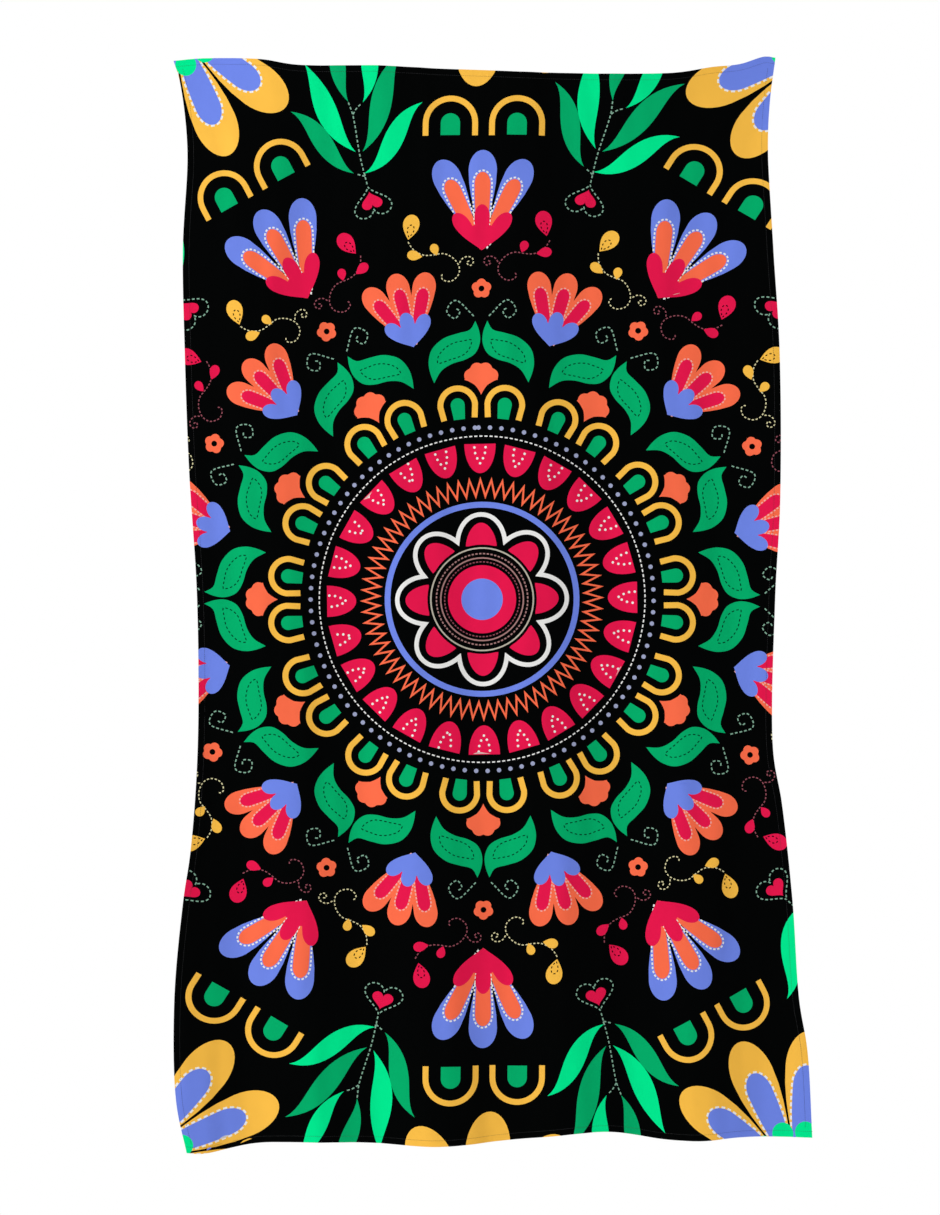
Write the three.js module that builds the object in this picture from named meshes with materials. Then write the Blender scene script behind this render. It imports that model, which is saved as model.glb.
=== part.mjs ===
// Tapestry wall hanging: one printed cloth panel with turned and stitched hems, hung by two
// round cord loops that are sewn to the back of its top corners.
// Millimetres, +Z up. The wall is the plane Y = 0 and the cloth faces -Y. The origin is midway
// between the two wall nails, at the height of their centres.
import * as THREE from 'three';

// Cloth, as cut and hemmed, before it is hung.
const CLOTH_WIDTH = 1016;
const CLOTH_HEIGHT = 1778;
const CLOTH_THICKNESS = 0.4;
const GAP = 0.3;

// Hems: the cut edge is folded twice to the back.
const HEM_WIDTH = 12;
const HEM_THICKNESS = 2 * CLOTH_THICKNESS;
const SEAM_INSET = HEM_WIDTH - 2;
const THREAD_WIDTH = 0.8;
const THREAD_THICKNESS = 0.35;

// Hanging loops and the bar tacks that hold their ends.
const NAIL_RADIUS = 2;
const CORD_DIAMETER = 3;
const LOOP_RADIUS = 6;
const LOOP_LEG = 23.5;
const LOOP_OFFSET = 452;
const TACK_HEIGHT = 8;
const TACK_THICKNESS = 0.8;
const TACK_FOOT = 2.6;
const TACK_LIFT = 2;
const CORD_SIDES = 8;
const CORD_STEPS = 30;

// Number of cells across and down the cloth, the hem cells not counted.
const COLUMNS = 20;
const ROWS = 32;

// Stack from the wall forward at a loop: tack, cord, seam thread, hem, cloth.
const CORD_Y = -(TACK_THICKNESS + GAP + CORD_DIAMETER / 2);
const SEAM_BACK_Y = CORD_Y - CORD_DIAMETER / 2 - GAP;
const HEM_BACK_Y = SEAM_BACK_Y - THREAD_THICKNESS - GAP;
const CORNER_DEPTH = -HEM_BACK_Y + HEM_THICKNESS + GAP + CLOTH_THICKNESS;

// Outline of the hanging cloth seen from the front, as points [x, z]. The top edge sags between
// the two held corners, and the sides draw in at mid height.
const TOP_LEFT = [-487, 10];
const TOP_RIGHT = [487, 15];
const BOTTOM_LEFT = [-464, -1754];
const BOTTOM_RIGHT = [545, -1730];
const TOP_EDGE = [TOP_LEFT, [-440, 14], [-346, 12], [-290, 3], [-153, 1], [-40, -5], [120, -11],
  [320, -10], [385, 0], [430, 5], [470, 17], TOP_RIGHT];
const BOTTOM_EDGE = [BOTTOM_LEFT, [-440, -1756], [-346, -1740], [-201, -1739], [-56, -1744],
  [90, -1732], [211, -1722], [300, -1733], [364, -1735], [429, -1730], BOTTOM_RIGHT];
const LEFT_EDGE = [TOP_LEFT, [-477, -23], [-464, -136], [-471, -297], [-468, -459], [-461, -650],
  [-448, -862], [-447, -1105], [-458, -1266], [-470, -1350], [-484, -1509], [-481, -1670],
  BOTTOM_LEFT];
const RIGHT_EDGE = [TOP_RIGHT, [478, -55], [474, -136], [482, -297], [492, -459], [493, -701],
  [485, -862], [482, -1105], [496, -1190], [513, -1347], [524, -1509], [537, -1589],
  BOTTOM_RIGHT];

// Folds of the hanging cloth.
const MEAN_DEPTH = 19;
const DRAPE_FOLD = 210;
const DRAPE_TOP = 2;
const DRAPE_GROWTH = 7;
const BROAD_FOLD = 470;
const BROAD_DEPTH = 4;
const CREASE_REACH = 260;
const CREASE_DEPTH = 2.5;
const HELD_FLAT = 25;
const FREE_FROM = 240;

const COLOURS = {
  cloth: '#0b0b0d',
  thread: '#151517',
  cord: '#1a1a1d',
};

const root = new THREE.Group();

// One named solid with a material of its own.
function addPart(name, geometry, colour, roughness) {
  const material = new THREE.MeshStandardMaterial({ color: colour, roughness, metalness: 0 });
  const mesh = new THREE.Mesh(geometry, material);
  mesh.name = name;
  root.add(mesh);
  return mesh;
}

// How far the front of the cloth stands out from the wall at (x, z).
function clothDepth(x, z) {
  const drop = THREE.MathUtils.clamp(-z / CLOTH_HEIGHT, 0, 1);
  const held = Math.min(Math.hypot(x - LOOP_OFFSET, z), Math.hypot(x + LOOP_OFFSET, z));
  const free = THREE.MathUtils.smoothstep(held, HELD_FLAT, FREE_FROM);
  const drape = (DRAPE_TOP + DRAPE_GROWTH * drop) * Math.sin((2 * Math.PI * (x + 0.06 * z)) / DRAPE_FOLD);
  const broad = BROAD_DEPTH * Math.sin((2 * Math.PI * x) / BROAD_FOLD + 0.9 + 1.2 * drop);
  const angle = Math.atan2(-z, CLOTH_WIDTH / 2 - Math.abs(x));
  const crease = CREASE_DEPTH * Math.exp(-held / CREASE_REACH) * Math.cos(9 * angle);
  return CORNER_DEPTH + free * (MEAN_DEPTH - CORNER_DEPTH + drape + broad + crease);
}

function edgeCurve(points) {
  return new THREE.CatmullRomCurve3(points.map(([x, z]) => new THREE.Vector3(x, 0, z)));
}

const edges = {
  top: edgeCurve(TOP_EDGE),
  bottom: edgeCurve(BOTTOM_EDGE),
  left: edgeCurve(LEFT_EDGE),
  right: edgeCurve(RIGHT_EDGE),
};

// Point of the cloth's front at u across and v down, each from 0 to 1: a Coons patch between the
// four edges, pushed out from the wall by the folds.
function clothPoint(u, v) {
  const point = new THREE.Vector3();
  point.addScaledVector(edges.top.getPointAt(u), 1 - v);
  point.addScaledVector(edges.bottom.getPointAt(u), v);
  point.addScaledVector(edges.left.getPointAt(v), 1 - u);
  point.addScaledVector(edges.right.getPointAt(v), u);
  const corners = [
    [TOP_LEFT, (1 - u) * (1 - v)],
    [TOP_RIGHT, u * (1 - v)],
    [BOTTOM_LEFT, (1 - u) * v],
    [BOTTOM_RIGHT, u * v],
  ];
  for (const [[x, z], weight] of corners) {
    point.x -= x * weight;
    point.z -= z * weight;
  }
  point.y = -clothDepth(point.x, point.z);
  return point;
}

// Closed layer of cloth over the cells between the given lines. Its front stands `front` behind
// the cloth's front face and its back stands `back` behind it.
function layerGeometry(uLines, vLines, front, back) {
  const positions = [];
  const across = uLines.length;
  const down = vLines.length;
  for (const behind of [front, back]) {
    for (const v of vLines) {
      for (const u of uLines) {
        const point = clothPoint(u, v);
        positions.push(point.x, point.y + behind, point.z);
      }
    }
  }
  const indices = [];
  const quad = (a, b, c, d) => indices.push(a, b, c, a, c, d);
  const at = (side, i, j) => side * across * down + j * across + i;
  for (let j = 0; j + 1 < down; j++) {
    for (let i = 0; i + 1 < across; i++) {
      quad(at(0, i, j), at(0, i, j + 1), at(0, i + 1, j + 1), at(0, i + 1, j));
      quad(at(1, i, j), at(1, i + 1, j), at(1, i + 1, j + 1), at(1, i, j + 1));
    }
  }
  for (let j = 0; j + 1 < down; j++) {
    const right = across - 1;
    quad(at(0, 0, j), at(1, 0, j), at(1, 0, j + 1), at(0, 0, j + 1));
    quad(at(0, right, j), at(0, right, j + 1), at(1, right, j + 1), at(1, right, j));
  }
  for (let i = 0; i + 1 < across; i++) {
    const low = down - 1;
    quad(at(0, i, 0), at(0, i + 1, 0), at(1, i + 1, 0), at(1, i, 0));
    quad(at(0, i, low), at(1, i, low), at(1, i + 1, low), at(0, i + 1, low));
  }
  const geometry = new THREE.BufferGeometry();
  geometry.setAttribute('position', new THREE.Float32BufferAttribute(positions, 3));
  geometry.setIndex(indices);
  geometry.computeVertexNormals();
  return geometry;
}

// Lines of the cloth's grid, with one narrow hem cell at each end.
function gridLines(cells, hem) {
  const lines = [0];
  for (let n = 0; n <= cells; n++) {
    lines.push(hem + ((1 - 2 * hem) * n) / cells);
  }
  lines.push(1);
  return lines;
}

const hemU = HEM_WIDTH / CLOTH_WIDTH;
const hemV = HEM_WIDTH / CLOTH_HEIGHT;
const uLines = gridLines(COLUMNS, hemU);
const vLines = gridLines(ROWS, hemV);

function addPanel() {
  const geometry = layerGeometry(uLines, vLines, 0, CLOTH_THICKNESS);
  addPart('printed_panel', geometry, COLOURS.cloth, 0.9);
}

// The hem and the two threads of its lockstitch seam, for one side of the cloth. `strip` gives the
// grid lines of a strip that starts and ends at the given distances in from that edge.
function addHemmedSide(side, strip) {
  const hemFront = CLOTH_THICKNESS + GAP;
  const hemBack = hemFront + HEM_THICKNESS;
  const [hemUs, hemVs] = strip(0, HEM_WIDTH);
  addPart(`hem_${side}`, layerGeometry(hemUs, hemVs, hemFront, hemBack), COLOURS.cloth, 0.9);
  const [us, vs] = strip(SEAM_INSET - THREAD_WIDTH / 2, SEAM_INSET + THREAD_WIDTH / 2);
  const needle = layerGeometry(us, vs, -GAP - THREAD_THICKNESS, -GAP);
  const bobbin = layerGeometry(us, vs, hemBack + GAP, hemBack + GAP + THREAD_THICKNESS);
  addPart(`seam_${side}_needle_thread`, needle, COLOURS.thread, 0.6);
  addPart(`seam_${side}_bobbin_thread`, bobbin, COLOURS.thread, 0.6);
}

// The side strips stop just short of the top and bottom strips, which run the full width.
function addHems() {
  const stop = (GAP * 2) / CLOTH_HEIGHT;
  const sideLines = [hemV + stop, ...vLines.slice(2, -2), 1 - hemV - stop];
  const inU = (distance) => distance / CLOTH_WIDTH;
  const inV = (distance) => distance / CLOTH_HEIGHT;
  addHemmedSide('top', (from, to) => [uLines, [inV(from), inV(to)]]);
  addHemmedSide('bottom', (from, to) => [uLines, [1 - inV(to), 1 - inV(from)]]);
  addHemmedSide('left', (from, to) => [[inU(from), inU(to)], sideLines]);
  addHemmedSide('right', (from, to) => [[1 - inU(to), 1 - inU(from)], sideLines]);
}

// Centre line of a loop: up one leg, over the arch and down the other leg.
class ArchCurve extends THREE.Curve {
  constructor(x, y, archZ) {
    super();
    this.centre = new THREE.Vector3(x, y, archZ);
    this.arc = Math.PI * LOOP_RADIUS;
  }

  getPoint(t, target = new THREE.Vector3()) {
    const travelled = t * (2 * LOOP_LEG + this.arc) - LOOP_LEG;
    const turned = THREE.MathUtils.clamp(travelled, 0, this.arc) / LOOP_RADIUS;
    const below = Math.max(-travelled, travelled - this.arc, 0);
    const x = -LOOP_RADIUS * Math.cos(turned);
    const z = LOOP_RADIUS * Math.sin(turned) - below;
    return target.copy(this.centre).add(new THREE.Vector3(x, 0, z));
  }
}

function regularShape(radius, sides) {
  const shape = new THREE.Shape();
  for (let n = 0; n < sides; n++) {
    const angle = (2 * Math.PI * (n + 0.5)) / sides;
    const place = [radius * Math.cos(angle), radius * Math.sin(angle)];
    if (n === 0) shape.moveTo(...place);
    else shape.lineTo(...place);
  }
  shape.closePath();
  return shape;
}

// Bar tack: a band of close stitches that bridges both legs, with a foot on the cloth at each end.
function tackGeometry() {
  const inner = LOOP_RADIUS + CORD_DIAMETER / 2 + GAP;
  const outer = inner + TACK_THICKNESS;
  const foot = outer + TACK_FOOT;
  const footY = -CORNER_DEPTH + CLOTH_THICKNESS + GAP;
  const half = [[inner, -TACK_THICKNESS], [inner, footY], [foot, footY],
    [foot, footY + TACK_THICKNESS], [outer, footY + TACK_THICKNESS], [outer, 0]];
  const mirrored = half.map(([x, y]) => [-x, y]).reverse();
  const shape = new THREE.Shape([...half, ...mirrored].map(([x, y]) => new THREE.Vector2(x, y)));
  return new THREE.ExtrudeGeometry(shape, { depth: TACK_HEIGHT, bevelEnabled: false, steps: 1 });
}

function addLoops() {
  const archZ = NAIL_RADIUS + CORD_DIAMETER / 2 - LOOP_RADIUS;
  const section = regularShape(CORD_DIAMETER / 2, CORD_SIDES);
  for (const [side, x] of [['left', -LOOP_OFFSET], ['right', LOOP_OFFSET]]) {
    const extrudePath = new ArchCurve(x, CORD_Y, archZ);
    const cord = new THREE.ExtrudeGeometry(section, { extrudePath, steps: CORD_STEPS });
    addPart(`hanging_loop_${side}`, cord, COLOURS.cord, 0.8);
    const tack = addPart(`loop_tack_${side}`, tackGeometry(), COLOURS.thread, 0.6);
    tack.position.set(x, 0, archZ - LOOP_LEG + TACK_LIFT);
  }
}

addPanel();
addHems();
addLoops();

export default root;
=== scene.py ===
import math
import random

import bpy
import numpy as np
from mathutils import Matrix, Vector, geometry


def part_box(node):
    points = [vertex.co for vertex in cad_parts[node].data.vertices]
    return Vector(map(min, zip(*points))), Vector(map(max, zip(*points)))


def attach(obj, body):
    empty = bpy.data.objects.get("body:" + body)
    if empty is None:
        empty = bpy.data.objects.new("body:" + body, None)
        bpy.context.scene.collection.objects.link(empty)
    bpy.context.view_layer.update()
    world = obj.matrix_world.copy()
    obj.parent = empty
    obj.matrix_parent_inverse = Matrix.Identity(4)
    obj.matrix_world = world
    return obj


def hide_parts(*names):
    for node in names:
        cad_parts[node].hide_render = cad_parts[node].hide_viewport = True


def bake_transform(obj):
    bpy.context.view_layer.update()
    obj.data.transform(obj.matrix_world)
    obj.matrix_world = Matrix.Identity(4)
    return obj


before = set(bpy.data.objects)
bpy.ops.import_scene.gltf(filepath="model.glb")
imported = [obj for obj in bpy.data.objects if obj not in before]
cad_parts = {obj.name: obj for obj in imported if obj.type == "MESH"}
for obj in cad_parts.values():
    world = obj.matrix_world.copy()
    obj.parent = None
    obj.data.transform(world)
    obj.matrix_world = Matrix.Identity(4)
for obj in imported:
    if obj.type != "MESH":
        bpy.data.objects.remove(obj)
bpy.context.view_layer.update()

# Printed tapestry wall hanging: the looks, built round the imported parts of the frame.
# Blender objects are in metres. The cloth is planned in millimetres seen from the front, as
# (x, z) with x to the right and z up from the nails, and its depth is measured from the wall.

bl_info = {
    "name": "Tapestry wall hanging",
    "version": (1, 0, 0),
    "blender": (4, 5, 0),
    "location": "3D View > Sidebar > Tapestry",
    "description": "Builds a printed cloth wall hanging with its hems, seams and cord loops",
    "category": "Object",
}

MM = 0.001
SEED = 7

# Size of the cloth before it is hung, in millimetres.
FLAT_WIDTH = 1016
FLAT_HEIGHT = 1778

# Names of the pieces that are sewn to the cloth or carry it.
SIDES = ("top", "bottom", "left", "right")
HEMS = tuple(f"hem_fold_{side}" for side in SIDES)
SEAMS = tuple(f"stitches_{side}_{face}" for side in SIDES for face in ("front", "back"))
LOOPS = ("cord_loop_left", "cord_loop_right")

# ---------------------------------------------------------------------------------------------
# Settings
# ---------------------------------------------------------------------------------------------


def linear(hexadecimal):
    """Linear colour of a screen colour such as #ff8000."""
    channels = [int(hexadecimal[n : n + 2], 16) / 255 for n in (1, 3, 5)]
    return [c / 12.92 if c <= 0.04045 else ((c + 0.055) / 1.055) ** 2.4 for c in channels]


def colour(name, description, hexadecimal):
    """A colour property, given here as a screen colour."""
    return bpy.props.FloatVectorProperty(
        name=name,
        description=description,
        subtype="COLOR",
        min=0,
        max=1,
        default=linear(hexadecimal),
    )


def length(name, description, millimetres):
    """A length property, kept in metres and given here in millimetres."""
    return bpy.props.FloatProperty(
        name=name,
        description=description,
        unit="LENGTH",
        min=0,
        precision=5,
        default=millimetres * MM,
    )


class InkSettings(bpy.types.PropertyGroup):
    """Colours of the print."""

    black: colour("Black", "Ground of the print", "#010202")
    crimson: colour("Crimson", "Petals, scallops, drops and hearts", "#e9184d")
    rose: colour("Rose", "Stitched lines of the crimson sprays", "#94505c")
    blush: colour("Blush", "Stitched lines on the small flowers", "#f7b0a8")
    peach: colour("Peach", "Thin rings of the medallion", "#a87e7c")
    orange: colour("Orange", "Petals, fans, small flowers and zigzag", "#ff6f4b")
    yellow: colour("Yellow", "Arches, corner petals and drops", "#fcc04a")
    ivory: colour("Ivory", "Outer thin ring of the medallion", "#bcb6a6")
    white: colour("White", "Dots and stitched lines", "#eeeeec")
    leaf_green: colour("Leaf green", "Leaves and arch fillings", "#03af6b")
    bright_green: colour("Bright green", "Light leaves of the branches", "#00ec92")
    mint: colour("Mint", "Stitched spirals, stems and hearts", "#86b09a")
    cream: colour("Cream", "Stitched lines of the yellow sprays", "#ddd6a8")
    blue: colour("Blue", "Petals, calyxes and rings", "#7088ea")
    dusk_blue: colour("Dusk blue", "Ring of dots", "#a0a7c8")


class ClothSettings(bpy.types.PropertyGroup):
    """The printed panel."""

    width: length("Flat width", "Width of the hemmed cloth before it is hung", FLAT_WIDTH)
    height: length("Flat height", "Height of the hemmed cloth before it is hung", FLAT_HEIGHT)
    thickness: length("Thickness", "Thickness of one layer of the cloth", 0.4)
    grid: length("Grid", "Spacing of the points between the printed shapes", 10)
    thread: length("Thread spacing", "Distance between neighbouring threads of the weave", 0.5)
    reverse: colour("Reverse", "Unprinted side of the cloth", "#d9d6cf")


class HemSettings(bpy.types.PropertyGroup):
    """The turned hems and their seams."""

    width: length("Hem width", "Width of the turned edge", 12)
    thickness: length("Hem thickness", "The two turned layers together", 0.8)
    seam_inset: length("Seam inset", "Distance of the seam from the edge", 10)
    stitch_pitch: length("Stitch pitch", "Distance from one stitch to the next", 3.4)
    stitch_length: length("Stitch length", "Length of the thread that shows", 2.8)
    stitch_width: length("Stitch width", "Thickness of the sewing thread", 0.4)
    thread: colour("Thread", "Colour of the sewing thread", "#101012")


class LoopSettings(bpy.types.PropertyGroup):
    """The cord loops and the bar tacks that hold them."""

    strand_width: length("Strand width", "Thickness of one strand of the braid", 0.84)
    braid_pitch: length("Braid pitch", "Length of cord in which a strand goes once round", 9)
    tack_thread: length("Tack thread", "Thickness of the thread of the bar tacks", 0.6)
    tack_pitch: length("Tack pitch", "Distance from one thread of a bar tack to the next", 0.55)
    cord: colour("Cord", "Colour of the braided cord", "#1b1b1f")


class StageSettings(bpy.types.PropertyGroup):
    """Floor, light and camera."""

    floor: colour("Floor", "Colour of the floor", "#e9e7e3")
    floor_drop: length("Floor drop", "Distance of the floor below the nails", 2200)
    floor_reach: length("Floor reach", "Half the width of the floor", 1750)
    camera_distance: length("Camera distance", "Distance of the camera from the cloth", 6000)
    view_height: length("View height", "Height of what the camera sees at the cloth", 1962)


class TapestrySettings(bpy.types.PropertyGroup):
    """All that a user may change."""

    inks: bpy.props.PointerProperty(type=InkSettings, name="Inks")
    cloth: bpy.props.PointerProperty(type=ClothSettings, name="Cloth")
    hems: bpy.props.PointerProperty(type=HemSettings, name="Hems")
    loops: bpy.props.PointerProperty(type=LoopSettings, name="Loops")
    stage: bpy.props.PointerProperty(type=StageSettings, name="Stage")


def settings():
    return bpy.context.scene.tapestry


# ---------------------------------------------------------------------------------------------
# Shader, mesh and Geometry Nodes helpers
# ---------------------------------------------------------------------------------------------


class Graph:
    """A node tree that is written as expressions."""

    def __init__(self, tree):
        self.tree = tree
        tree.nodes.clear()

    def node(self, kind, settings=None, inputs=None, output=0):
        """Adds a node: its settings come first, then the values or links of its inputs."""
        node = self.tree.nodes.new(kind)
        for key, value in (settings or {}).items():
            setattr(node, key, value)
        for key, value in (inputs or {}).items():
            if isinstance(value, Link):
                self.tree.links.new(value.socket, node.inputs[key])
            else:
                node.inputs[key].default_value = value
        return Link(self, node.outputs[output]) if node.outputs else node


class Link:
    """A node's output. Arithmetic on it adds Math nodes."""

    def __init__(self, graph, socket):
        self.graph = graph
        self.socket = socket

    def maths(self, operation, first, second=0.0):
        return self.graph.node("ShaderNodeMath", {"operation": operation}, {0: first, 1: second})

    def output(self, name):
        return Link(self.graph, self.socket.node.outputs[name])

    def __add__(self, other):
        return self.maths("ADD", self, other)

    def __radd__(self, other):
        return self.maths("ADD", other, self)

    def __sub__(self, other):
        return self.maths("SUBTRACT", self, other)

    def __rsub__(self, other):
        return self.maths("SUBTRACT", other, self)

    def __mul__(self, other):
        return self.maths("MULTIPLY", self, other)

    def __rmul__(self, other):
        return self.maths("MULTIPLY", other, self)

    def sine(self):
        return self.maths("SINE", self)


def mixed(graph, factor, first, second, blend="MIX"):
    """Colour that goes from first to second as factor goes from 0 to 1."""
    settings = {"data_type": "RGBA", "blend_type": blend}
    return graph.node("ShaderNodeMix", settings, {0: factor, 6: first, 7: second}, 2)


def opaque(rgb):
    return [*rgb, 1.0]


def new_material(name, base, bump_height, bump_distance, roughness, specular=0.1, sheen=0.0):
    """Material from functions of its graph that give the colour and the height of the bump."""
    material = bpy.data.materials.new(name)
    material.use_nodes = True
    graph = Graph(material.node_tree)
    bump = {"Height": bump_height(graph), "Distance": bump_distance, "Strength": 0.6}
    shader = graph.node(
        "ShaderNodeBsdfPrincipled",
        inputs={
            "Base Color": base(graph),
            "Normal": graph.node("ShaderNodeBump", inputs=bump),
            "Roughness": roughness,
            "Specular IOR Level": specular,
            "Sheen Weight": sheen,
        },
    )
    graph.node("ShaderNodeOutputMaterial", inputs={"Surface": shader})
    return material


def noise(graph, size):
    """Smooth noise from 0 to 1, with features of about the given size in metres."""
    place = graph.node("ShaderNodeTexCoord").output("Object")
    return graph.node("ShaderNodeTexNoise", inputs={"Vector": place, "Scale": 1 / size, "Detail": 2.0})


def add_mesh(name, vertices, faces, material, normals=None):
    """A new object whose mesh is in metres in the frame."""
    mesh = bpy.data.meshes.new(name)
    mesh.from_pydata([tuple(v) for v in vertices], [], [tuple(f) for f in faces])
    mesh.materials.append(material)
    mesh.polygons.foreach_set("use_smooth", [True] * len(mesh.polygons))
    mesh.update()
    if normals is not None:
        mesh.normals_split_custom_set_from_vertices([tuple(n) for n in normals])
    obj = bpy.data.objects.new(name, mesh)
    bpy.context.scene.collection.objects.link(obj)
    return obj


def node_tree(name, inputs, build):
    """Geometry Nodes tree with named inputs. build makes its shape from the incoming geometry."""
    tree = bpy.data.node_groups.new(name, "GeometryNodeTree")
    tree.interface.new_socket("Geometry", in_out="INPUT", socket_type="NodeSocketGeometry")
    for label, kind in {**inputs, "Material": "Material"}.items():
        tree.interface.new_socket(label, in_out="INPUT", socket_type="NodeSocket" + kind)
    tree.interface.new_socket("Geometry", in_out="OUTPUT", socket_type="NodeSocketGeometry")
    graph = Graph(tree)
    given = graph.node("NodeGroupInput")
    smooth = graph.node("GeometryNodeSetShadeSmooth", inputs={0: build(graph, given)})
    real = graph.node("GeometryNodeRealizeInstances", inputs={0: smooth})
    painted = {0: real, "Material": given.output("Material")}
    graph.node("NodeGroupOutput", inputs={0: graph.node("GeometryNodeSetMaterial", inputs=painted)})
    return tree


def grown(name, lines, radii, tree, values):
    """Plain mesh that a Geometry Nodes tree grows on lines of points, given in millimetres."""
    joins = []
    first = 0
    for line in lines:
        joins += [(n, n + 1) for n in range(first, first + len(line) - 1)]
        first += len(line)
    mesh = bpy.data.meshes.new(name + "_lines")
    mesh.from_pydata([tuple(p * MM) for line in lines for p in line], joins, [])
    radius = mesh.attributes.new("thread_radius", "FLOAT", "POINT")
    radius.data.foreach_set("value", np.concatenate(radii) * MM)
    source = bpy.data.objects.new(name + "_lines", mesh)
    bpy.context.scene.collection.objects.link(source)
    modifier = source.modifiers.new("grow", "NODES")
    modifier.node_group = tree
    for item in tree.interface.items_tree:
        if item.in_out == "INPUT" and item.name in values:
            modifier[item.identifier] = values[item.name]
    whole = source.evaluated_get(bpy.context.evaluated_depsgraph_get())
    piece = bpy.data.objects.new(name, bpy.data.meshes.new_from_object(whole))
    bpy.data.objects.remove(source)
    bpy.context.scene.collection.objects.link(piece)
    return piece


def tilted(graph, instances, most):
    """Instances, each turned by a small seeded angle of its own."""
    limits = {0: (-most, -most, -most), 1: (most, most, most), "Seed": SEED}
    turn = graph.node("FunctionNodeRandomValue", {"data_type": "FLOAT_VECTOR"}, limits)
    return graph.node("GeometryNodeRotateInstances", inputs={0: instances, "Rotation": turn})


# ---------------------------------------------------------------------------------------------
# Lines and outlines in the plane
# ---------------------------------------------------------------------------------------------


def curve_through(points, spacing, closed=False):
    """Smooth line through the points (a centripetal Catmull-Rom curve)."""
    knots = np.asarray(points, float)
    if closed:
        knots = np.vstack([knots[-1:], knots, knots[:2]])
    else:
        knots = np.vstack([2 * knots[0] - knots[1], knots, 2 * knots[-1] - knots[-2]])
    line = []
    for before, start, end, after in zip(knots, knots[1:], knots[2:], knots[3:]):
        steps = [np.linalg.norm(b - a) ** 0.5 for a, b in ((before, start), (start, end), (end, after))]
        first, middle, last = steps
        leaving = (start - before) / first - (end - before) / (first + middle) + (end - start) / middle
        arriving = (end - start) / middle - (after - start) / (middle + last) + (after - end) / last
        leaving, arriving = leaving * middle, arriving * middle
        count = max(1, round(np.linalg.norm(end - start) / spacing))
        for t in np.arange(count) / count:
            bend = (leaving + arriving - 2 * (end - start)) * t + 3 * (end - start) - 2 * leaving - arriving
            line.append(start + t * (leaving + t * bend))
    if not closed:
        line.append(knots[-2])
    return np.array(line)


def travel(path):
    """Distance travelled along a path at each of its points."""
    return np.concatenate([[0], np.cumsum(np.linalg.norm(np.diff(path, axis=0), axis=1))])


def at_distances(path, distances):
    """Points of a path at the given distances along it."""
    gone = travel(path)
    return np.column_stack([np.interp(distances, gone, path[:, n]) for n in range(path.shape[1])])


def shifted(path, distance, closed=False):
    """The path moved sideways to its left, with its corners kept sharp."""
    path = np.asarray(path, float)
    ahead = np.roll(path, -1, axis=0) - path
    behind = path - np.roll(path, 1, axis=0)
    if not closed:
        ahead[-1], behind[0] = behind[-1], ahead[0]
    ahead /= np.linalg.norm(ahead, axis=1)[:, None]
    behind /= np.linalg.norm(behind, axis=1)[:, None]
    middle = ahead + behind
    middle /= np.linalg.norm(middle, axis=1)[:, None]
    reach = distance / np.maximum(0.45, (middle * ahead).sum(axis=1))
    return path + np.column_stack([-middle[:, 1], middle[:, 0]]) * reach[:, None]


def ribbon(path, width):
    """Outline of a line drawn along an open path."""
    return np.vstack([shifted(path, width / 2), shifted(path, -width / 2)[::-1]])


def tapered(spine, half_widths):
    """Outline of a shape that is pointed at both ends of its spine."""
    normals = shifted(spine, 1.0) - spine
    left = spine + normals * half_widths[:, None]
    right = spine - normals * half_widths[:, None]
    return np.vstack([left, right[-2:0:-1]])


def circle(radius, centre=(0, 0), roundness=0.12):
    """Circle whose sides stray from the round by at most roundness."""
    sides = max(8, math.ceil(math.pi / math.acos(1 - min(0.3, roundness / radius))))
    turn = np.arange(sides) * 2 * math.pi / sides
    return np.column_stack([np.cos(turn), np.sin(turn)]) * radius + np.asarray(centre)


def half_oval(flat, tip, half_width, power=1.0, sides=20):
    """Half an oval between a flat end at one height and a round tip at another."""
    turn = np.linspace(0, math.pi, sides)
    rise = np.sin(turn) ** power
    return np.column_stack([half_width * np.cos(turn), flat + (tip - flat) * rise])


def direction(lean):
    """Unit vector that leans clockwise from straight up, in degrees."""
    return np.array([math.sin(math.radians(lean)), math.cos(math.radians(lean))])


def petal(foot, lean, size, half_width, widest=0.7, waist=1.15, sides=18):
    """Outline of a petal, from its pointed foot round its tip and back to the foot. It is widest at
    that share of its length. A waist above 1 keeps its lower part slim, one below 1 fills it out."""
    up = direction(lean)
    across = np.array([up[1], -up[0]])
    rise = widest * (1 - np.cos(np.linspace(0, math.pi / 2, sides // 2))) ** 0.8
    low = np.column_stack([rise, np.sin(rise / widest * math.pi / 2) ** waist])
    turn = np.linspace(0, math.pi / 2, sides // 2 + 1)[1:]
    high = np.column_stack([widest + (1 - widest) * np.sin(turn), np.cos(turn)])
    half = np.vstack([low, high])
    left = half * [size, -half_width]
    right = half[::-1][1:-1] * [size, half_width]
    both = np.vstack([left, right])
    return np.asarray(foot) + both[:, :1] * up + both[:, 1:] * across


def drop(point, end, half_width, widest=0.62):
    """Outline of a drop from its point to its round end."""
    step = np.subtract(end, point)
    lean = math.degrees(math.atan2(step[0], step[1]))
    return petal(point, lean, np.linalg.norm(step), half_width, widest, 1, 14)


def moved(points, across=0.0, outward=0.0):
    """The points moved to the right of their spoke and outward."""
    return np.asarray(points) + [across, outward]


# ---------------------------------------------------------------------------------------------
# The print
# ---------------------------------------------------------------------------------------------

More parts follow.
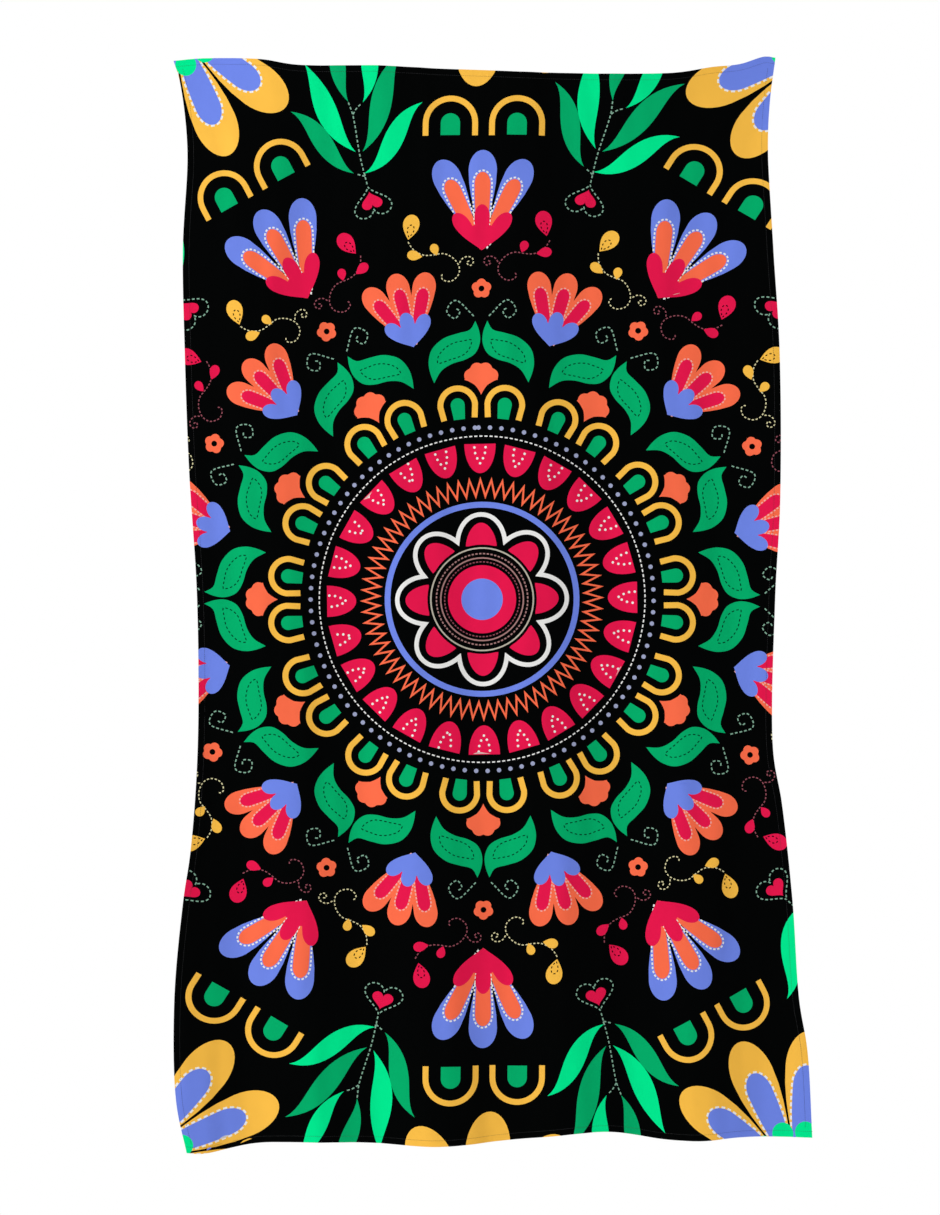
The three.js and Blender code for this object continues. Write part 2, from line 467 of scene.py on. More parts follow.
# Places on the print are millimetres from its centre, and spokes are degrees clockwise from the
# top. ARCH_PLACES pairs each spoke with how far its arches stand outward.
PRINT_CENTRE = np.array([12.9, -861.7])
PRINT_REACH = np.array([500, 880])
MEDALLION_TURN = -0.8
FIELD_TURN = -0.3
SPOKES = 12
SPOKE = 360 / SPOKES
OUTER_SPOKES = (-0.3, 29.5, 150.6, 179.7, 209.6, 330.8)
ARCH_PLACES = ((-0.3, 0), (29.2, 2), (150.6, 7), (179.5, 4), (208.8, 5), (330.7, 2))
BRANCH_SPOKES = (14, 44, 74, 104, 134, 163.8, 193.6, 224, 254, 284, 314, 344.2)
LEANING_BRANCHES = (163.8, 344.2)


def hung(points):
    """Where points of the print lie once the cloth hangs: its held corners and its free lower edge
    draw the print slightly out of square toward the corners."""
    across, up = (points / PRINT_REACH).T
    pull_x = across * up * (12 * up + 13.7 * across)
    pull_z = -across * up * (6.1 * up + 7.6 * across)
    sway = 9.3 * up**3 + 1.9 * up**2 - 1.2 * up - 1.5 * across - 0.7
    tilt = 3.8 * up**3 - 1.8 * up - 8.7 * across**3 + 1.7 * across + 0.4
    return PRINT_CENTRE + points + np.column_stack([pull_x + sway, pull_z + tilt])


class Pattern:
    """The print's shapes in painting order: each is an ink, an outline on the hanging cloth in
    millimetres, and whether it is too fine to show through to the reverse."""

    def __init__(self, window):
        self.window = window
        self.shapes = []
        self.turn_to(0)

    def turn_to(self, spoke, mirrored=False):
        """The next shapes are drawn about a spoke, in degrees clockwise from the top. Their
        points are (across to the right, outward from the centre)."""
        outward = direction(spoke)
        across = np.array([outward[1], -outward[0]]) * (-1 if mirrored else 1)
        self.axes = np.stack([across, outward])

    def paint(self, ink, points, fine=False):
        """Adds a shape, unless it lies wholly off the cloth. Outlines run anticlockwise."""
        outline = hung(np.asarray(points) @ self.axes)
        low, high = self.window
        if (outline.max(axis=0) < low).any() or (outline.min(axis=0) > high).any():
            return
        after = np.roll(outline, -1, axis=0)
        turning = (outline[:, 0] * after[:, 1] - outline[:, 1] * after[:, 0]).sum()
        self.shapes.append((ink, outline if turning > 0 else outline[::-1], fine))

    def stitch(self, ink, path, pitch, size, closed=False, start=0.0):
        """Dashes along a path. size is the length and width of one dash."""
        dash, width = size
        path = np.vstack([path, path[:1]]) if closed else np.asarray(path, float)
        whole = travel(path)[-1] - start
        count = max(1, round(whole / pitch) if closed else int((whole - dash) / pitch) + 1)
        step = whole / count if closed else pitch
        for n in range(count):
            ends = at_distances(path, [start + n * step, start + n * step + dash])
            self.paint(ink, ribbon(ends, width), fine=True)

    def ring(self, ink, middle, width):
        """A ring of ink on black ground. Only black lies inside it until more is painted."""
        self.paint(ink, circle(middle + width / 2))
        self.paint("black", circle(middle - width / 2))


def draw_medallion(pattern):
    """The round centre, from its outer ring of dots inward."""
    draws = random.Random(SEED)
    dots = 95
    first_dot, dot_step = -1.2, 3.817
    for n in range(dots):
        pattern.turn_to(first_dot + n * dot_step)
        pattern.paint("dusk_blue", circle(3.7, (0, 277.8), 0.3))
    pattern.turn_to(MEDALLION_TURN)
    pattern.stitch("white", circle(264), 8.2, (4.8, 2), closed=True)
    scallops = 24
    seed_side = np.array([(9.4, 250), (8.4, 238), (5.2, 229), (0, 220)])
    seeds_line = np.vstack([seed_side * (-1, 1), seed_side[-2::-1]])
    for n in range(scallops):
        pattern.turn_to(MEDALLION_TURN + n * 360 / scallops)
        pattern.paint("crimson", half_oval(flat=251.3, tip=204, half_width=25.4))
        for distance in np.arange(draws.uniform(2, 9), travel(seeds_line)[-1], 9.25):
            pattern.paint("white", circle(2.1, at_distances(seeds_line, [distance])[0], 0.3), fine=True)
    pattern.turn_to(MEDALLION_TURN)
    teeth = 68
    tooth_foot, tooth_tip = 167, 193.5
    half_line = 2.2
    reaches = [tooth_tip, tooth_foot] * teeth
    zigzag = [direction(n * 180 / teeth) * reach for n, reach in enumerate(reaches)]
    pattern.paint("orange", shifted(zigzag, half_line, closed=True))
    pattern.paint("black", shifted(zigzag, -half_line, closed=True))
    pattern.ring("blue", 153.1, 9.4)
    lobes = 8
    steps = 22
    lobe_tip, lobe_height = 137.3, 36.5
    half_line = 3.55
    scalloped = []
    for n in range(lobes * steps):
        off_lobe = abs((n % steps) / steps * 2 - 1)
        reach = lobe_tip - lobe_height * off_lobe**2.1
        scalloped.append(direction((n / steps - 0.5) * 360 / lobes) * reach)
    pattern.paint("white", shifted(scalloped, half_line, closed=True))
    pattern.paint("black", shifted(scalloped, -half_line, closed=True))
    for n in range(lobes):
        pattern.turn_to(MEDALLION_TURN + n * 360 / lobes)
        pattern.paint("crimson", half_oval(flat=86, tip=124, half_width=25, power=1.2))
    pattern.turn_to(MEDALLION_TURN)
    pattern.paint("black", circle(88.5))
    pattern.ring("ivory", 83, 2.4)
    pattern.stitch("peach", circle(74), 6.1, (3.6, 2.2), closed=True)
    pattern.ring("peach", 66.9, 2.2)
    pattern.stitch("rose", circle(60.7), 5.6, (3.2, 1.8), closed=True)
    pattern.paint("crimson", circle(55.2))
    pattern.paint("blue", circle(33.6))


def arch(foot, apex, half_foot, half_span, line):
    """Outline of a round-headed arch with two straight legs."""
    turn = np.linspace(0, math.pi, 22)
    head = np.column_stack([-np.cos(turn), np.sin(turn)]) * half_span + [0, apex - half_span]
    return ribbon(np.vstack([[(-half_foot, foot)], head, [(half_foot, foot)]]), line)


def capsule(foot, apex, half_foot, half_span):
    """Outline of a filled, round-headed shape."""
    turn = np.linspace(0, math.pi, 14)
    head = np.column_stack([np.cos(turn), np.sin(turn)]) * half_span + [0, apex - half_span]
    return np.vstack([[(half_foot, foot)], head, [(-half_foot, foot)]])


def draw_arcades(pattern):
    """The two rings of arches: the inner about the medallion, the outer in pairs at the spokes."""
    for n in range(SPOKES):
        for lean in (-6.9, 6.9):
            pattern.turn_to(FIELD_TURN + n * SPOKE + lean)
            pattern.paint("yellow", arch(293.5, 343.6, 24.8, 28.1, 9.4))
            pattern.paint("leaf_green", capsule(293, 327.6, 9, 11.4))
    for spoke, outward in ARCH_PLACES:
        pattern.turn_to(spoke)
        for across in (-53, 53):
            pattern.paint("yellow", moved(arch(748, 807.5, 39.6, 39.6, 9.2), across, outward))
            pattern.paint("leaf_green", moved(capsule(749, 784, 15.5, 15.5), across, outward))


def draw_fan(pattern):
    """Shell with a scalloped top and hollow sides."""
    turn = np.linspace(-0.5, math.pi + 0.5, 45)
    reach = 25.5 + 3.4 * np.abs(np.sin(4 * turn))
    top = np.column_stack([np.cos(turn), np.sin(turn)]) * reach[:, None] + [0, 355]
    side = np.array([(27, 355), (21, 353), (15.5, 350), (10, 346.5), (6, 341.5), (2.5, 336)])
    hollow = np.vstack([side * (-1, 1), [(0, 330.8)], side[::-1]])
    pattern.paint("orange", np.vstack([top[top[:, 1] > 356], hollow]))


# Upper and lower edge and stitched line of a leaf beside its spoke.
LEAF_TOP = [(9.6, 450), (18, 436), (38, 430), (61, 422), (80, 404), (85, 383), (82, 365), (76, 350)]
LEAF_LOW = [(76, 350), (64, 370), (47, 381), (25, 388), (9.5, 398), (2, 416), (3.5, 434), (9.6, 450)]
LEAF_SEAM = [(15.5, 419.5), (28, 418), (42, 415.5), (52, 411), (62, 403), (69, 394), (70.5, 382),
             (63, 383), (49, 388), (37.5, 391.5), (26, 397), (18, 407.5)]


def spiral():
    """Curl that rises from a leaf's tip and winds inward clockwise."""
    turns = [0, 106, 196, 286, 376, 466, 556]
    radii = [33, 18, 13.5, 11.5, 8, 4.5, 2]
    at = [math.radians(196 - t) for t in turns]
    return curve_through([(42.5 + r * math.cos(a), 465.5 + r * math.sin(a)) for a, r in zip(at, radii)], 2)


def draw_leaf_pair(pattern, spoke):
    """Two stitched leaves, one on each side of a spoke, with a curl above each."""
    top, low = curve_through(LEAF_TOP, 5), curve_through(LEAF_LOW, 5)
    outline = np.vstack([top, low[1:-1]])
    curl = spiral()
    for mirrored in (False, True):
        pattern.turn_to(spoke, mirrored)
        pattern.paint("leaf_green", outline)
        pattern.stitch("black", curve_through(LEAF_SEAM, 5, closed=True), 7.7, (4.2, 1.6), closed=True)
        pattern.stitch("mint", curl, 7.7, (4.4, 2), start=2)


def draw_flower(pattern, foot, spread, outer, waist, inner, calyx, inks, dash):
    """Three long petals over a three-lobed calyx. outer and inner are the length and half-width
    of the petals, and waist is that of the outer ones. calyx is its lobes' length and half-width,
    their spread and the valleys' height. dash is the pitch, the size and the gap of the stitches."""
    outer_ink, inner_ink, calyx_ink, dash_ink = inks
    pitch, dash_size, gap = dash
    for lean in (-spread, spread, 0):
        pattern.paint(outer_ink, petal((0, foot), lean, *outer, widest=0.8, waist=waist))
    for lean in (-spread, spread, 0):
        inner_petal = petal((0, foot), lean, *inner, widest=0.85, waist=0.6)
        pattern.paint(inner_ink, inner_petal)
        pattern.stitch(dash_ink, shifted(inner_petal, gap), pitch, dash_size, start=inner[0] * 0.3)
    size, half_width, lobe_spread, valley = calyx
    corners = [(0, foot)]
    for lean in (-lobe_spread - 8, -lobe_spread / 2, 0, lobe_spread / 2, lobe_spread + 8):
        corners.append(np.array([0, foot]) + direction(lean) * valley)
    pattern.paint(calyx_ink, corners)
    for lean in (-lobe_spread, lobe_spread, 0):
        pattern.paint(calyx_ink, petal((0, foot), lean, size, half_width, 0.72))


def draw_spray(pattern, ink, dash_ink, big, small):
    """Stitched tendril on the left of a spoke, with one big drop and two small ones. big and small
    are how far those drops are moved."""
    tendril = [(-118.7, 577.5), (-114, 569.6), (-108.2, 563.5), (-93.3, 556.1), (-78.4, 556.5),
               (-61.8, 558.8), (-47.3, 552.6), (-37.3, 540.7), (-35.5, 532.9), (-37.3, 524.1),
               (-50, 514), (-64, 518), (-63.9, 525), (-57, 526.6)]
    curl = [(-35.5, 543.8), (-31.2, 550.6), (-23.7, 553.5), (-15.7, 551.8), (-13, 545), (-18.4, 538.7),
            (-24.3, 543.7), (-19.9, 546.8)]
    for path in (tendril, curl):
        pattern.stitch(dash_ink, curve_through(path, 3), 6.3, (3.4, 1.8))
    pattern.paint(ink, moved(drop((-118.7, 581), (-110.8, 621.3), 13.3), *big))
    seam = moved(drop((-117.5, 585), (-112.8, 605), 5.4), *big)
    pattern.stitch("black", seam, 7.4, (3.6, 1.8), closed=True)
    pattern.paint(ink, moved(drop((-93.3, 556.1), (-117.5, 560), 8), *small))
    pattern.paint(ink, moved(drop((-69.7, 558.2), (-76.5, 576.6), 7), *small))


def heart(tip, size, half_width, sides=40):
    """Heart whose point is at the given height and whose lobes lie toward the centre."""
    turn = np.arange(sides) * 2 * math.pi / sides
    across = np.sin(turn) ** 3
    height = (13 * np.cos(turn) - 5 * np.cos(2 * turn) - 2 * np.cos(3 * turn) - np.cos(4 * turn) + 17) / 29
    return np.column_stack([across * half_width, tip - height * size])


def long_leaf(base, tip, near_bow, far_bow, half_width):
    """Narrow S-shaped leaf. The bows push its lower and upper half to the right of base-to-tip."""
    base, tip = np.asarray(base, float), np.asarray(tip, float)
    along = tip - base
    across = np.array([along[1], -along[0]]) / np.linalg.norm(along)
    near = base + along / 3 + across * near_bow
    far = base + along * 2 / 3 + across * far_bow
    t = np.linspace(0, 1, 18)[:, None]
    spine = base * (1 - t) ** 3 + near * 3 * t * (1 - t) ** 2 + far * 3 * t * t * (1 - t) + tip * t**3
    return tapered(spine, half_width * np.sin(math.pi * t[:, 0]) ** 1.15)


def draw_branch(pattern, spoke, lean):
    """Heart with a stitched stem and six long leaves. The stem leans from the heart's point."""
    stem_foot = 694
    pattern.turn_to(spoke)
    pattern.paint("crimson", heart(683.6, 28, 17))
    pattern.stitch("mint", heart(692, 49, 31), 8, (4.4, 2), closed=True)
    pattern.turn_to(spoke + lean)
    root = -stem_foot * math.radians(lean)
    for stem in ([(0, stem_foot), (-2, 740), (0, 809), (-3, 830)], [(0, 809), (8, 818), (20, 825)],
                 [(0, 708), (-17.5, 717)], [(0, 708), (-0.7, 713)]):
        pattern.stitch("mint", moved(curve_through(stem, 3), root), 7.7, (4.4, 2), start=1)
    leaves = [
        ("leaf_green", (-17.5, 717), (-98, 836), -18, 22, 15),
        ("bright_green", (-7.5, 750), (-60, 905), -24, 4, 17),
        ("bright_green", (-0.7, 713), (113.8, 804), 26, -22, 15.5),
        ("leaf_green", (3.7, 748), (96, 889), 20, -22, 17),
        ("leaf_green", (-3, 831), (-10, 960), -14, 10, 13),
        ("bright_green", (20, 825), (60, 950), 20, -10, 14),
    ]
    for ink, base, tip, near_bow, far_bow, half_width in leaves:
        pattern.paint(ink, moved(long_leaf(base, tip, near_bow, far_bow, half_width), root))


def draw_outer_flower(pattern, spoke):
    """Twelve-petalled flower beyond the arches, of which the cloth shows a few petals."""
    middle = (0, 1061)
    petals = 12
    pattern.turn_to(spoke)
    leans = [183.5 + n * 360 / petals for n in range(petals)]
    for lean in leans:
        pattern.paint("yellow", petal(middle, lean, 235, 35.5, 0.75, 1.37))
        inner = petal(middle, lean, 180, 21, 0.82, 0.8)
        pattern.paint("blue", inner)
        pattern.stitch("white", shifted(inner, 1.5), 10.5, (6.3, 3.2), start=40)
    for lean in leans:
        pattern.paint("bright_green", circle(17.5, middle + direction(lean + 5) * 73))


def draw_blossom(pattern):
    """Small five-lobed flower with a black eye."""
    turn = np.arange(45) * 2 * math.pi / 45
    reach = 12.5 + 3.5 * np.abs(np.cos(2.5 * (turn - math.pi / 2))) ** 0.8
    pattern.paint("orange", np.column_stack([np.cos(turn), np.sin(turn)]) * reach[:, None] + [0, 502])
    pattern.paint("black", circle(4.7, (0, 502)))


def draw_print(window):
    """All the shapes of the print, in painting order."""
    pattern = Pattern(window)
    draw_arcades(pattern)
    for spoke in OUTER_SPOKES:
        draw_outer_flower(pattern, spoke)
    for spoke in BRANCH_SPOKES:
        draw_branch(pattern, spoke, lean=3 if spoke in LEANING_BRANCHES else 0)
    for n in range(SPOKES):
        spoke = FIELD_TURN + n * SPOKE
        between = spoke + SPOKE / 2
        pattern.turn_to(spoke)
        draw_spray(pattern, "yellow", "cream", (0, 0), (-2.5, -2.5))
        pattern.turn_to(spoke - 1, mirrored=True)
        draw_spray(pattern, "crimson", "rose", (5, 3.5), (-4, 0))
        pattern.turn_to(spoke)
        draw_flower(
            pattern,
            foot=563.5,
            spread=26,
            outer=(161, 22.6),
            waist=1.7,
            inner=(126, 12.7),
            calyx=(74, 12.5, 37, 42.5),
            inks=("blue", "orange", "crimson", "white"),
            dash=(6.7, (3.9, 2.6), 2.5),
        )
        draw_blossom(pattern)
        draw_leaf_pair(pattern, spoke)
        pattern.turn_to(spoke)
        draw_fan(pattern)
        pattern.turn_to(between)
        draw_flower(
            pattern,
            foot=422.7,
            spread=25,
            outer=(122, 18.8),
            waist=1.3,
            inner=(96, 10),
            calyx=(57, 11.8, 37, 38),
            inks=("orange", "crimson", "blue", "blush"),
            dash=(6.1, (3.5, 2.2), 1.2),
        )
    draw_medallion(pattern)
    return pattern.shapes


# ---------------------------------------------------------------------------------------------
# Shape of the hanging cloth
# ---------------------------------------------------------------------------------------------

# Outline of the hanging cloth. The top edge sags between the two held corners, and the sides
# draw in at mid height.
TOP_EDGE = [(-487, 10), (-440, 14), (-346, 12), (-290, 3), (-153, 1), (-40, -5), (120, -11), (320, -10),
            (385, 0), (430, 5), (470, 17), (487, 15)]
BOTTOM_EDGE = [(-464, -1754), (-440, -1756), (-346, -1740), (-201, -1739), (-56, -1744), (90, -1732),
               (211, -1722), (300, -1733), (364, -1735), (429, -1730), (545, -1730)]
LEFT_EDGE = [(-487, 10), (-477, -23), (-464, -136), (-471, -297), (-468, -459), (-461, -650), (-448, -862),
             (-447, -1105), (-458, -1266), (-470, -1350), (-484, -1509), (-481, -1670), (-464, -1754)]
RIGHT_EDGE = [(487, 15), (478, -55), (474, -136), (482, -297), (492, -459), (493, -701), (485, -862),
              (482, -1105), (496, -1190), (513, -1347), (524, -1509), (537, -1589), (545, -1730)]
EDGE_STEP = 6
TOP = curve_through(TOP_EDGE, EDGE_STEP)
BOTTOM = curve_through(BOTTOM_EDGE, EDGE_STEP)
LEFT = curve_through(LEFT_EDGE, EDGE_STEP)[::-1]
RIGHT = curve_through(RIGHT_EDGE, EDGE_STEP)[::-1]

# Depths are measured out from the wall to the front of the cloth, as the frame's own cloth has them.
CORNER_DEPTH = 6.55
MEAN_DEPTH = 19
LOOP_X = sum(corner.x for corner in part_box("hanging_loop_right")) / 2 / MM

# A hem's two turned layers lie behind the cloth and come forward where they fold at its edge.
HEM_MIDDLE = 1.1
HEM_LIFT = 0.55
HEM_ROUNDING = 0.6

# Where the points between the printed shapes start and stop.
GRID_ACROSS = (-500, 560)
GRID_UP = (-1760, 20)


def smoothstep(value, low, high):
    """Goes smoothly from 0 at low to 1 at high."""
    t = np.clip((value - low) / (high - low), 0, 1)
    return t * t * (3 - 2 * t)


def edge_at(value, line, along):
    """The other coordinate of an edge line where its own coordinate is value."""
    return np.interp(value, line[:, along], line[:, 1 - along])


def edge_distance(x, z):
    """How far a point lies inside the nearest edge."""
    across = np.minimum(x - edge_at(z, LEFT, 1), edge_at(z, RIGHT, 1) - x)
    down = np.minimum(edge_at(x, TOP, 0) - z, z - edge_at(x, BOTTOM, 0))
    return np.minimum(across, down)


def cloth_window():
    """Lowest and highest corner of the hanging cloth, seen from the front."""
    edges = np.vstack([BOTTOM, RIGHT, TOP, LEFT])
    return edges.min(axis=0), edges.max(axis=0)


def cloth_depth(x, z):
    """How far the front of the cloth stands out from the wall."""
    fall = np.clip(-z / FLAT_HEIGHT, 0, 1)
    held = np.minimum(np.hypot(x - LOOP_X, z), np.hypot(x + LOOP_X, z))
    free = smoothstep(held, 25, 240)
    drape = (2 + 7 * fall) * np.sin(2 * math.pi * (x + 0.06 * z) / 210)
    broad = 4 * np.sin(2 * math.pi * x / 470 + 0.9 + 1.2 * fall)
    angle = np.arctan2(-z, FLAT_WIDTH / 2 - np.abs(x))
    crease = 2.5 * np.exp(-held / 260) * np.cos(9 * angle)
    ripple = 0.9 * np.sin(x / 11 + 1.6 * np.sin(z / 130)) * np.sin(z / 210 + x / 90)
    pleat = 1.3 * np.exp(-held / 210) * np.cos(24 * angle + 2 * np.sin(held / 45))
    pucker = 0.45 * np.sin(x / 6.2 + 2.2 * np.sin(z / 95)) * np.sin(z / 160 + x / 60)
    fine = ripple + pleat + pucker
    return CORNER_DEPTH + free * (MEAN_DEPTH - CORNER_DEPTH + drape + broad + crease + fine)


def surface(plan, behind):
    """Places points of the cloth's plan on its folds, so far behind the front, in metres."""
    x, z = plan[:, 0], plan[:, 1]
    return np.column_stack([x, behind - cloth_depth(x, z), z]) * MM


def surface_normals(plan):
    """Directions in which the front of the folded cloth faces."""
    x, z = plan[:, 0], plan[:, 1]
    step = 0.5
    slope_x = (cloth_depth(x + step, z) - cloth_depth(x - step, z)) / (2 * step)
    slope_z = (cloth_depth(x, z + step) - cloth_depth(x, z - step)) / (2 * step)
    normals = -np.column_stack([slope_x, np.ones(len(x)), slope_z])
    return normals / np.linalg.norm(normals, axis=1)[:, None]


def side_line(side, inset):
    """Line at a distance in from one edge of the cloth. Those of the left and right side stop short
    of the hems at the top and bottom, which run the full width."""
    edge, inward = {"top": (TOP, -1), "bottom": (BOTTOM, 1), "left": (LEFT, -1), "right": (RIGHT, 1)}[side]
    line = shifted(edge, inward * inset) if inset else edge
    x, z = line.T
    if side in ("top", "bottom"):
        return np.column_stack([np.clip(x, edge_at(z, LEFT, 1), edge_at(z, RIGHT, 1)), z])
    width = settings().hems.width / MM
    return line[(z < edge_at(x, TOP, 0) - width - 1) & (z > edge_at(x, BOTTOM, 0) + width + 1)]


def folded_over(side, outline):
    """Reflects an outline across one edge of the cloth, as folding the cloth over does."""
    x, z = outline.T
    if side in ("top", "bottom"):
        return np.column_stack([x, 2 * edge_at(x, TOP if side == "top" else BOTTOM, 0) - z])[::-1]
    return np.column_stack([2 * edge_at(z, LEFT if side == "left" else RIGHT, 1) - x, z])[::-1]


# ---------------------------------------------------------------------------------------------
# Meshes of printed layers
# ---------------------------------------------------------------------------------------------


def triangulate(rim, inner_points, shapes):
    """Splits the area inside the rim into triangles that follow the outlines of the shapes.
    Gives the points, the triangles and the number of the top shape on each (0 is bare ground)."""
    points = [tuple(p) for p in rim]
    outlines = [list(range(len(points)))]
    for _, outline, _ in shapes:
        outlines.append(list(range(len(points), len(points) + len(outline))))
        points += [tuple(p) for p in outline]
    points += [tuple(p) for p in inner_points]
    result = geometry.delaunay_2d_cdt(points, [], outlines, 1, 1e-4, True)
    plan, triangles, origins = result[0], result[2], result[5]
    kept = [(t, max(o)) for t, o in zip(triangles, origins) if 0 in o]
    used = sorted({n for t, _ in kept for n in t})
    renumbered = {old: new for new, old in enumerate(used)}
    plan = np.array([plan[n] for n in used], float)
    faces = np.array([[renumbered[n] for n in t] for t, _ in kept])
    return plan, faces, [top for _, top in kept]


def rim_loop(faces):
    """The outer points of a flat mesh, in order round its rim."""
    edges = {(int(a), int(b)) for f in faces for a, b in zip(f, np.roll(f, -1))}
    following = {a: b for a, b in edges if (b, a) not in edges}
    loop = [min(following)]
    while following[loop[-1]] != loop[0]:
        loop.append(following[loop[-1]])
    return loop


def zipped(loop, plan, other_loop, other_plan, first):
    """Triangles that join the rim of a front layer to the rim of a back layer. Both loops start at
    the same point, and the back layer's points are numbered from first."""
    fronts, backs = loop + loop[:1], other_loop + other_loop[:1]
    gone, other_gone = travel(plan[fronts]), travel(other_plan[backs])
    n = m = 0
    triangles = []
    while n < len(loop) or m < len(other_loop):
        front, back = fronts[n], first + backs[m]
        if m == len(other_loop) or (n < len(loop) and gone[n + 1] <= other_gone[m + 1]):
            n += 1
            triangles.append((front, back, fronts[n]))
        else:
            m += 1
            triangles.append((front, back, first + backs[m]))
    return triangles


def inner_grid(spacing):
    """Staggered points over the cloth, clear of its edges."""
    rows = np.arange(*GRID_UP, spacing * 0.87)
    columns = np.arange(*GRID_ACROSS, spacing)
    grid = np.array([(x + spacing / 2 * (n % 2), z) for n, z in enumerate(rows) for x in columns])
    return grid[edge_distance(grid[:, 0], grid[:, 1]) > spacing * 0.6]


def ink_colours(shapes, tops):
    """Colour of each triangle of a printed layer."""
    inks = settings().inks
    palette = {name: opaque(getattr(inks, name)) for name in InkSettings.__annotations__}
    table = [palette["black"]] + [palette[ink] for ink, _, _ in shapes]
    return np.array([table[n] for n in tops], np.float32)


def colour_corners(obj, colours):
    """Gives each triangle of a printed piece its ink."""
    ink = obj.data.attributes.new("ink", "FLOAT_COLOR", "CORNER")
    ink.data.foreach_set("color", np.repeat(colours, 3, axis=0).ravel().astype(np.float32))


# ---------------------------------------------------------------------------------------------
# Materials of cloth and thread
# ---------------------------------------------------------------------------------------------


def weave(graph, thread):
    """Height of a plain weave of threads that cross at the given spacing."""
    place = graph.node("ShaderNodeTexCoord").output("Object")
    split = graph.node("ShaderNodeSeparateXYZ", inputs={0: place})
    across, up = split.output("X"), split.output("Z")
    turn = math.pi / thread
    return (across * turn).sine() * (up * turn).sine() + noise(graph, 0.004) * 0.6


def printed_material(name, reverse):
    """Printed face, or the pale reverse through which the print shows faintly."""
    values = settings().cloth

    def base(graph):
        ink = graph.node("ShaderNodeAttribute", {"attribute_name": "ink"})
        shade = mixed(graph, noise(graph, 0.05) * 0.5, (1.04, 1.04, 1.04, 1), (0.9, 0.9, 0.9, 1))
        shaded = mixed(graph, 1.0, ink, shade, "MULTIPLY")
        if not reverse:
            return shaded
        return mixed(graph, 0.2, opaque(values.reverse), shaded)

    return new_material(name, base, lambda graph: weave(graph, values.thread), 0.00015, 0.9, 0.03)


def thread_material(name, tint, roughness):
    """Spun thread or cord, with fine fibres that catch a little light."""

    def base(graph):
        return mixed(graph, noise(graph, 0.0012) * 0.5, opaque(tint), (0.09, 0.09, 0.1, 1))

    return new_material(name, base, lambda graph: noise(graph, 0.0003), 0.0001, roughness, 0.25, 0.1)


# ---------------------------------------------------------------------------------------------
# Stage
# ---------------------------------------------------------------------------------------------

# Places in metres, and the size and power of each lamp.
VIEW_MIDDLE = Vector((-0.0073, -MEAN_DEPTH * MM, -0.8746))
LIT_POINT = Vector((0, 0, -0.9))
ROOM_LIGHT = 0.34
LIGHTS = (
    ("key_light", (-4.2, -2.9, 0.9), 1.4, 218),
    ("fill_light", (3.6, -4.6, -0.6), 2.4, 72),
    ("back_light", (2.4, 3.6, 0.4), 2.4, 70),
)


class TAPESTRY_OT_stage(bpy.types.Operator):
    """Make the camera, the lights and the floor"""

    bl_idname = "tapestry.stage"
    bl_label = "Stage"

    def execute(self, context):
        values = settings().stage
        data = bpy.data.cameras.new("camera")
        data.sensor_fit = "VERTICAL"
        data.sensor_height = 36
        data.lens = data.sensor_height * values.camera_distance / values.view_height
        camera = bpy.data.objects.new("camera", data)
        camera.location = VIEW_MIDDLE - Vector((0, values.camera_distance, 0))
        camera.rotation_euler = (math.pi / 2, 0, 0)
        context.scene.collection.objects.link(camera)
        context.scene.camera = camera
        context.scene.view_settings.view_transform = "Standard"
        self.light(context)
        self.floor(values)
        return {"FINISHED"}

    def light(self, context):
        """A white room that lights softly, and the lamps."""
        world = bpy.data.worlds.new("studio")
        context.scene.world = world
        world.use_nodes = True
        graph = Graph(world.node_tree)
        seen = graph.node("ShaderNodeLightPath").output("Is Camera Ray")
        strength = ROOM_LIGHT + (1 - ROOM_LIGHT) * seen
        white = {"Color": (1, 1, 1, 1), "Strength": strength}
        background = graph.node("ShaderNodeBackground", inputs=white)
        graph.node("ShaderNodeOutputWorld", inputs={"Surface": background})
        for name, place, size, power in LIGHTS:
            data = bpy.data.lights.new(name, "AREA")
            data.size = size
            data.energy = power
            light = bpy.data.objects.new(name, data)
            light.location = place
            towards = LIT_POINT - Vector(place)
            light.rotation_euler = towards.to_track_quat("-Z", "Y").to_euler()
            context.scene.collection.objects.link(light)

    def floor(self, values):
        """A plain floor below the cloth."""
        reach, low = values.floor_reach, -values.floor_drop
        corners = [(-reach, -reach, low), (reach, -reach, low), (reach, reach, low), (-reach, reach, low)]

        def paint(graph):
            speckle = noise(graph, 0.02) * 0.1
            return mixed(graph, speckle, opaque(values.floor), (0.7, 0.7, 0.7, 1))

        material = new_material("floor_finish", paint, lambda graph: noise(graph, 0.01), 0.0002, 0.8)
        add_mesh("floor", corners, [(0, 1, 2, 3)], material)


# ---------------------------------------------------------------------------------------------
# Hems and seams
# ---------------------------------------------------------------------------------------------


